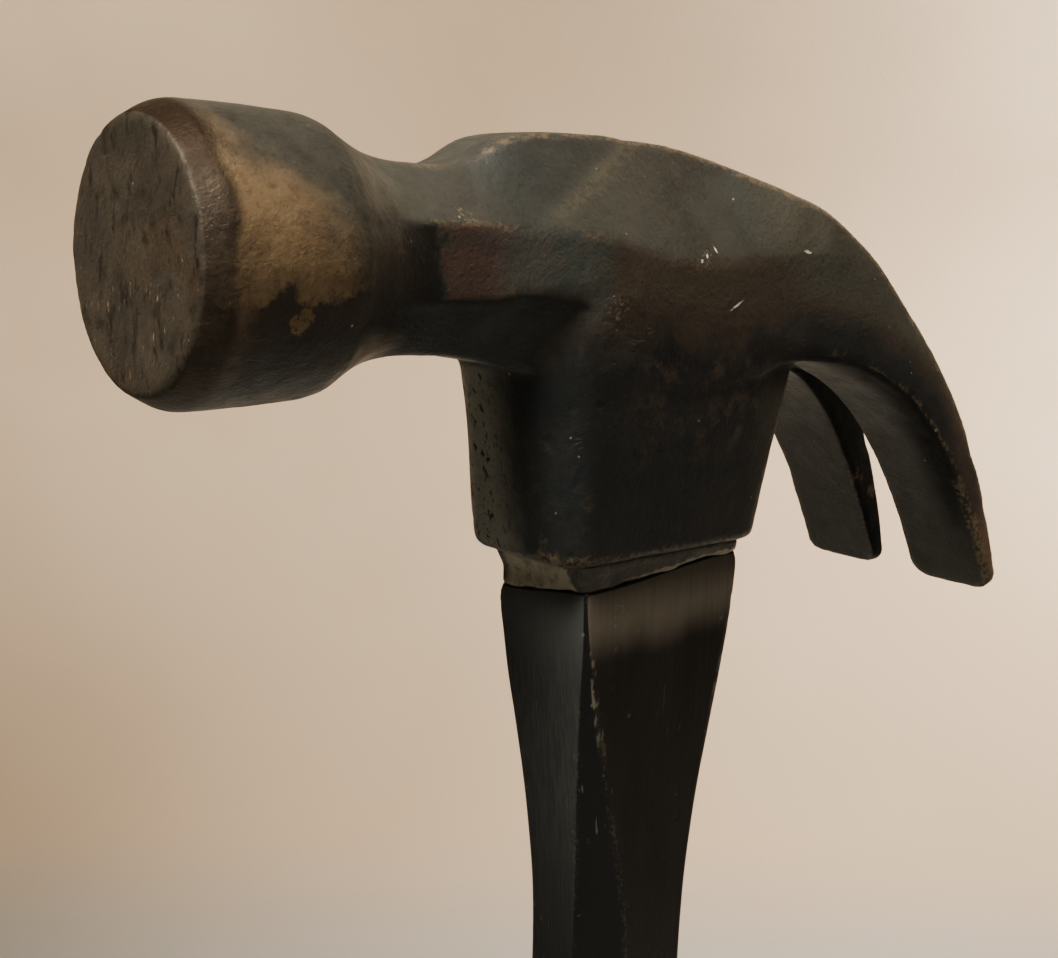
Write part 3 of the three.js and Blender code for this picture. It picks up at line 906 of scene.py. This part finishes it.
def dust_and_light_on_crown(look, paint):
    """Dust and painted top light on what faces up, with a pale worn crest down from the crown and a dark
    flare beside it.
    """
    dust = look.two_tone(look.coarse, (58, 57, 50), (50, 48, 41))
    dust = look.coat(dust, (80, 76, 65), look.dusty_high, x=(8, 17, 0.0, 0.7))
    paint = look.blend(look.dusty, paint, dust)
    crest = look.add(look.ragged(look.x, look.mottle, 3), look.both(look.rise, -1.67), 86.093)
    paint = look.coat(paint, (36, 37, 35), look.dusty, look.ramp(crest, -1.5, -5), 0.5, x=(-33, -26))
    band = look.both(look.dusty, look.ramp(look.size_of(crest), 3.0, 0.3))
    return look.coat(paint, (90, 82, 66), band, 0.42, rise=(37, 43), grain=(0.3, 0.6))


def painted_shade_under_neck(look, paint):
    """Painted shade on the neck's lower chamfer, darkest where it tucks in under the lower edge of its side.
    """
    paint = look.coat(paint, (20, 20, 20), 0.9, x=(-8, -14), facing_z=(-0.25, -0.45))
    tucked_painted_shade = look.ramp(look.ragged(look.lower_edge, look.mottle, 4), 7, 4)
    return look.coat(paint, (2, 2, 2), tucked_painted_shade, 0.8, x=(-14, -20), facing_z=(-0.15, -0.4))


def socket_front(look, paint):
    """A pale strip down the socket's front, which is a painted reflection, with dark pits in it; gives back
    its pits too.
    """
    near = look.ramp(look.ragged(look.y, look.mottle, 4), -1.5, 5.5)
    # The pale strip is a painted reflection, strongest on the far half of the front.
    front = look.both(near, facing_x=(-0.75, -0.97), rise=(30, 24))
    paint = look.coat(paint, (120, 119, 104), front, 0.9)
    speckle = look.noise(0.9, 4, 0.7, stretch=(1, 1, 1.6), offset=41)
    pits = look.both(front, look.ramp(speckle, 0.57, 0.62))
    return look.coat(paint, (18, 17, 14), pits), pits


def claw_paint(look, paint):
    """Bare undersides, pale outer strips of painted light and rusty tips; gives back the painted shade on
    the shadowed inner edge too.
    """
    under = look.two_tone(look.coarse, (52, 51, 44), (43, 42, 35))
    paint = look.blend(look.both(look.claws, 0.9, facing_z=(-0.15, -0.4)), paint, under)
    side = look.both(facing_z=(-0.15, 0.0))
    # Painted light: the upper part of each claw's side is paler.
    pale_lit_strip = look.both(look.claws, side, lower_edge=(4, 9), dusty_high=(1.0, 0.0))
    paint = look.coat(paint, (60, 59, 51), pale_lit_strip, 0.8)
    # Painted shade along the lower edge of each claw's side.
    reach = look.ragged(look.lower_edge, look.coarse, 5)
    shadowed = look.both(look.claws, look.ramp(reach, 10, 4.5), x=(64, 50), y=(9, 3))
    paint = look.coat(paint, (12, 11, 9), shadowed, 0.9)
    paint = look.coat(paint, (86, 62, 46), side, 0.6, x=(46, 58), coarse=(0.3, 0.6))
    # The slot's walls: black paint, darkened further as painted shade.
    paint = look.coat(paint, (12, 11, 9), look.slot_wall)
    tan = look.both(look.slot_wall, look.spot(55, 3, 1.5, 5, 0.5, 3.0))
    return look.coat(paint, (96, 78, 54), tan, 0.7, mottle=(0.5, 0.62)), shadowed


def worn_paint(look, paint):
    """Tan metal along the ridges and a scuffed patch on each cheek."""
    ridges = look.ramp(look.ragged(look.edge, look.mottle, 0.25), 0.17, 0.27)
    zone = look.either(look.both(facing_z=(-0.3, -0.1)), look.both(rise=(6, 4)))
    rubbed = look.both(ridges, zone, look.less(1.0, look.slot_wall), grain=(0.42, 0.6))
    paint = look.coat(paint, (102, 85, 61), rubbed, 0.6)
    patch = look.both(look.both(x=(-11, -6), rise=(10, 15)), x=(17, 12), rise=(27, 23))
    scuff = look.ramp(look.noise(2.4, 5, 0.75, offset=43), 0.48, 0.66)
    return look.coat(paint, (92, 72, 54), patch, scuff, 0.3)


def pale_marks(look, colour):
    """Nicks, clusters, specks and hairlines, and dark pepper; gives back clusters and hairlines."""
    chip = look.spot(-55.9, -13.5, 30.3, 1.4, 0.7)
    colour = look.coat(colour, (112, 92, 64), chip, 0.8, grain=(0.35, 0.5))
    white = look.either(*(look.nick(*place_and_size) for place_and_size in NICKS))
    colour = look.coat(colour, (205, 198, 180), white, 0.85)
    patches = look.either(*(look.spot(*place_and_size, 0.8) for place_and_size in CLUSTERS))
    cluster = look.both(patches, look.ramp(look.noise(0.5, 3, 0.7, offset=47), 0.56, 0.64))
    colour = look.coat(colour, (128, 108, 80), cluster, 0.55)
    chance = look.ramp(look.noise(5, 2, 0.5, offset=19), 0.6, 0.66)
    zone = look.either(chance, look.both(edge=(0.1, 0.22), facing_z=(-0.3, -0.1)))
    specks = look.both(look.ramp(look.dots(1.3, 2.0), 0.15, 0.09), zone, look.less(1.0, look.slot_wall))
    colour = look.coat(colour, (160, 148, 124), specks, 0.7, mottle=(0.5, 0.56))
    hairs = look.both(
        look.ramp(look.noise(0.5, 2, 0.5, stretch=(4, 4, 1.0), offset=29, warp=1.2), 0.68, 0.72),
        look.ramp(look.noise(8, 2, 0.5, offset=31), 0.5, 0.62),
    )
    colour = look.coat(colour, (96, 86, 70), hairs, 0.3)
    pepper = look.ramp(look.noise(0.45, 3, 0.7, offset=53), 0.5, 0.66)
    return look.coat(colour, (16, 15, 13), pepper, 0.4, coarse=(0.3, 0.6)), cluster, hairs


def forged_steel():
    look = HeadLook("forged_steel")
    paint, red = neck_paint(look, black_paint(look))
    paint, front_pits = socket_front(look, painted_shade_under_neck(look, dust_and_light_on_crown(look, paint)))
    paint, shadowed = claw_paint(look, paint)
    colour = look.blend(look.bare, worn_paint(look, paint), bell_colour(look))
    colour, cluster, hairs = pale_marks(look, colour)
    bevel_top = look.both(x=(FACE_X + 5, FACE_X + 3), facing_z=(0.1, 0.8))
    metal = look.add(look.both(look.bare, 0.35), look.both(bevel_top, 0.4))
    look.set(Metallic=metal, Specular_IOR_Level=0.3, Specular_Tint=SHEEN)
    rough = look.add(
        look.both(mottle=(0.3, 0.7, 0.42, 0.56)), look.both(look.dusty, 0.12),
        look.both(look.either(red, look.pit), 0.15),
        look.both(look.either(look.slot_wall, shadowed), 0.35),
    )
    fine = look.noise(0.22, 2, 0.6, offset=5)
    return look.finish(colour, rough, (look.mottle, 0.14), (look.grain, 0.1), (fine, 0.03),
                       (hairs, -0.03), (front_pits, -0.12), (cluster, 0.05))


def adhesive():
    look = Look("adhesive")
    cloud = look.noise(3.5, 4, 0.6)
    grime = look.noise(1.4, 4, 0.7, offset=4)
    grain = look.noise(0.5, 3, 0.6, offset=9)
    cream = look.two_tone(cloud, (148, 140, 114), (124, 116, 93), 0.3, 0.7)
    cream = look.coat(cream, (66, 58, 46), look.ramp(grime, 0.5, 0.68, 0, 0.7))
    # Grime covers the broad sides, all but a thin pale line along the lower edge; a corner is dark as well.
    side = look.ramp(look.ragged(look.size_of(look.y), grime, 2), 6.4, 7.9)
    drop = look.ragged(look.rise, grime, 1.2)
    above_edge = look.less(drop, look.both(x=(-12.1, 12.2, 0, 1.8)))
    pale_lower_line = look.both(look.ramp(above_edge, -2.1, -2.6), x=(-9, -2))
    dirt = look.both(side, look.ramp(pale_lower_line, 1.0, 0.0), look.ramp(grain, 0.2, 0.4, 0.8, 1.0))
    corner = look.spot(-13.6, -7.6, -1.8, 2.8, 0.5, 1.2)
    colour = look.coat(cream, (24, 21, 17), look.either(dirt, corner, look.ramp(drop, -0.6, 0.1)), 0.92)
    look.set(Subsurface_Weight=0.06, Subsurface_Radius=(0.0012, 0.0008, 0.0004))
    rough = look.ramp(cloud, 0.3, 0.7, 0.34, 0.58)
    return look.finish(colour, rough, (cloud, 0.3), (grime, 0.2), (grain, 0.05))


def fibreglass():
    look = Look("fibreglass")
    bundles = look.noise(0.5, 3, 0.6, stretch=(1, 1, 60))
    colour = look.two_tone(bundles, (150, 138, 96), (182, 172, 132), 0.3, 0.7)
    colour = look.coat(colour, (128, 112, 76), look.ramp(look.noise(4, 2, 0.5), 0.45, 0.75))
    return look.finish(colour, look.ramp(bundles, 0.3, 0.7, 0.45, 0.65), (bundles, 0.12))


def handle_faces_light_and_shade(look):
    """Painted light and shade on the one black moulding: black corner cuts, brown broad sides and grey
    narrow ones, which are paler at the top and darken downwards.
    """
    narrow = look.two_tone(look.threads, (42, 44, 44), (54, 54, 51))
    # Painted light high on the narrow sides, painted shade lower down.
    narrow = look.coat(narrow, (60, 62, 59), rise=(-18, -6))
    narrow = look.coat(narrow, (29, 29, 28), rise=(-24, -58))
    cut = look.two_tone(look.cloud, (18, 18, 18), (24, 23, 22))
    broad = look.two_tone(look.cloud, (25, 23, 20), (31, 28, 25))
    on_narrow = look.ramp(look.size_of(look.facing_x), 0.82, 0.95)
    return look.blend(on_narrow, look.blend(look.on_broad, cut, broad), narrow)


def handle_chip_mask(look):
    """Pale chips, a sparkle under the head, and a scuffed line on the near edge of a broad side."""
    chips = look.both(pit=(0.25, 0.7), grain=(0.35, 0.55))
    glitter = look.ramp(look.noise(0.35, 2, 0.6, offset=61), 0.6, 0.66)
    sparkle = look.both(look.spot(-7, -8, -7, 2.2, 0.5), glitter)
    flaked = look.ramp(look.noise(0.7, 3, 0.6, stretch=(1, 1, 2.5), offset=67), 0.46, 0.6)
    near_edge = look.both(look.ramp(look.size_of(look.y), 7.3, 7.6), edge=(0.015, 0.045))
    stretch = look.both(look.both(rise=(-26, -19)), rise=(-8, -12))
    return look.either(chips, sparkle, look.both(near_edge, stretch, flaked))


def handle_moulding():
    look = Look("handle_moulding")
    look.edge, look.pit = look.attribute("edge"), look.attribute("pit")
    look.cloud = look.noise(14, 3, 0.6, stretch=(1, 1, 3))
    look.threads = look.noise(0.5, 3, 0.6, stretch=(1, 1, 70), offset=8)
    look.grain = look.noise(0.5, 3, 0.6, offset=2)
    look.on_broad = look.ramp(look.size_of(look.facing_y), 0.82, 0.95)
    # A painted sheen, with dust, on the broad sides' shoulder under the head.
    high = look.ramp(look.ragged(look.rise, look.cloud, 8), -8.5, -2.5)
    dust = look.both(high, look.on_broad, threads=(0.2, 0.6, 0.75, 1.0))
    colour = look.coat(handle_faces_light_and_shade(look), (95, 87, 74), dust, 0.8)
    colour = look.coat(colour, (96, 90, 80), 0.18, edge=(0.03, 0.09), grain=(0.5, 0.62), cloud=(0.45, 0.6))
    chips = handle_chip_mask(look)
    colour = look.coat(colour, (116, 108, 94), chips, 0.55)
    scratch = look.both(
        look.ramp(look.noise(0.45, 2, 0.5, stretch=(1, 1, 14), offset=23, warp=0.6), 0.7, 0.74),
        look.ramp(look.noise(7, 2, 0.5, offset=37), 0.5, 0.62),
    )
    colour = look.coat(colour, (110, 102, 90), scratch, 0.4)
    look.set(Specular_IOR_Level=0.18, Specular_Tint=SHEEN)
    rough = look.add(look.both(cloud=(0.3, 0.7, 0.34, 0.46)), look.both(dust, 0.18), look.both(chips, 0.2))
    return look.finish(colour, rough, (look.threads, 0.03), (look.grain, 0.03), (scratch, -0.04))


def grip_rubber():
    look = Look("grip_rubber")
    look.edge = look.attribute("edge")
    look.cloud = look.noise(16, 3, 0.6)
    look.pores = look.noise(0.35, 3, 0.65, offset=6)
    colour = look.two_tone(look.cloud, (30, 30, 31), (40, 39, 37))
    colour = look.coat(colour, (84, 78, 68), 0.5, edge=(-0.02, -0.08), pores=(0.35, 0.6))
    worn = look.both(edge=(0.03, 0.1), cloud=(0.35, 0.6))
    colour = look.coat(colour, (62, 60, 57), worn, 0.35)
    rough = look.less(look.both(pores=(0.3, 0.7, 0.68, 0.86)), look.both(worn, 0.2))
    return look.finish(colour, rough, (look.cloud, 0.1), (look.pores, 0.06))


def plaster():
    """Pale wall and floor, a little darker and greyer towards the ground; the darkening is painted shade."""
    look = Look("plaster")
    patches = look.noise(180, 3, 0.5)
    colour = look.two_tone(patches, (208, 180, 146), (217, 190, 156))
    # Painted shade: darker low on the wall and across the floor.
    colour = look.coat(colour, (176, 153, 125), 0.6, z=(260, 20))
    colour = look.coat(colour, (156, 154, 148), z=(45, 2))
    return look.finish(colour, 0.9, (patches, 1.0), (look.noise(1.5, 3, 0.6), 0.08))


def dress(piece, material):
    piece.data.materials.clear()
    piece.data.materials.append(material)


# ---- stage ----------------------------------------------------------------------------------
WALL_AWAY = 0.62                # metres from the hammer to the wall behind it


def build_sweep():
    """Pale floor that curves up into a wall behind the hammer, as seen from the camera."""
    near_end, wall_height, bend, half_width = -2.2, 1.6, 0.35, 3.0
    profile = [(near_end, 0.0)]
    profile += [
        (WALL_AWAY - bend + bend * math.sin(a), bend - bend * math.cos(a))
        for a in np.linspace(0, math.pi / 2, 24)
    ]
    profile += [(WALL_AWAY, wall_height)]
    points = [
        AWAY * along + ACROSS * side + Vector((0, 0, up))
        for along, up in profile for side in (-half_width, half_width)
    ]
    faces = [(2 * i, 2 * i + 1, 2 * i + 3, 2 * i + 2) for i in range(len(profile) - 1)]
    mesh = bpy.data.meshes.new("sweep")
    mesh.from_pydata(points, [], faces)
    mesh.shade_smooth()
    sweep = bpy.data.objects.new("sweep", mesh)
    bpy.context.scene.collection.objects.link(sweep)
    dress(sweep, plaster())
    sweep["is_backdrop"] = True


def add_light(name, place, target, size, power, colour, spread):
    lamp = bpy.data.lights.new(name, "AREA")
    lamp.shape = "DISK"
    lamp.size = size
    lamp.energy = power
    lamp.color = colour
    lamp.spread = math.radians(spread)
    made = bpy.data.objects.new(name, lamp)
    made.location = place
    made.visible_camera = False
    made.rotation_euler = (Vector(target) - Vector(place)).to_track_quat("-Z", "Y").to_euler()
    bpy.context.scene.collection.objects.link(made)


def build_lights():
    """A key lamp on the hammer, four that wash the wall and one on the floor in front."""
    warm, soft = (1.0, 0.93, 0.83), (1.0, 0.96, 0.9)
    head = Vector((0, 0, RIM_Z * MM))
    wall = head + AWAY * WALL_AWAY
    above = Vector((0, 0, 1.25))
    high_on_wall = wall + above * 0.2
    add_light("key", above - ACROSS * 0.3 - AWAY * 0.5, head, 0.5, 1.98, warm, 26)
    right, left = above + ACROSS * 0.75 + AWAY * 0.2, above - ACROSS * 0.35 + AWAY * 0.25
    add_light("wall_right", right, high_on_wall + ACROSS * 0.5, 0.5, 8.6, soft, 45)
    add_light("wall_left", left, high_on_wall - ACROSS * 0.25, 0.4, 1.95, warm, 45)
    for side, power in ((-1, 1.6), (1, 2.6)):
        add_light("wall_far", above + ACROSS * side * 1.5, wall + ACROSS * side * 1.35, 0.6, power, soft, 60)
    over_floor = Vector((0, 0, 1.6)) - AWAY * 1.4
    add_light("floor_front", over_floor, over_floor - above, 1.2, 14, soft, 80)
    world = bpy.data.worlds.new("studio")
    world.use_nodes = True
    background = world.node_tree.nodes["Background"]
    background.inputs["Color"].default_value = shade(226, 226, 230)
    background.inputs["Strength"].default_value = 0.155
    bpy.context.scene.world = world


def build_camera():
    """The photographer's place: in front of the bell, a little above the striking axis."""
    forward = AWAY * math.cos(VIEW_PITCH) - Vector((0, 0, math.sin(VIEW_PITCH)))
    upright = ACROSS.cross(forward)
    right = ACROSS * math.cos(VIEW_ROLL) + upright * math.sin(VIEW_ROLL)
    up = upright * math.cos(VIEW_ROLL) - ACROSS * math.sin(VIEW_ROLL)
    lens = bpy.data.cameras.new("camera")
    lens.sensor_width = 36
    lens.lens = CAMERA_LENS
    camera = bpy.data.objects.new("camera", lens)
    place = (Vector(CAMERA_PLACE) + Vector((0, 0, RIM_Z))) * MM
    turn = Matrix((right, up, -forward)).transposed().to_4x4()
    camera.matrix_world = Matrix.Translation(place) @ turn
    bpy.context.scene.collection.objects.link(camera)
    bpy.context.scene.camera = camera


# ---- assembly -------------------------------------------------------------------------------
build_camera()
build_sweep()
build_lights()

for build, node, slot, material in (
    (build_head, "hammer_head", "forged_steel", forged_steel),
    (build_resin, "eye_resin", "epoxy", adhesive),
    (build_handle, "handle_jacket", "handle_moulding", handle_moulding),
    (build_grip, "grip_sleeve", "grip_rubber", grip_rubber),
):
    piece = build()
    dress(piece, material())
    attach(piece, "root")
    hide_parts(node)
dress(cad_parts["handle_core"], fibreglass())

boxes = {"cad": CAD_BOX, "visual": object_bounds()}
{key: [list(corner) for corner in box] for key, box in boxes.items()}
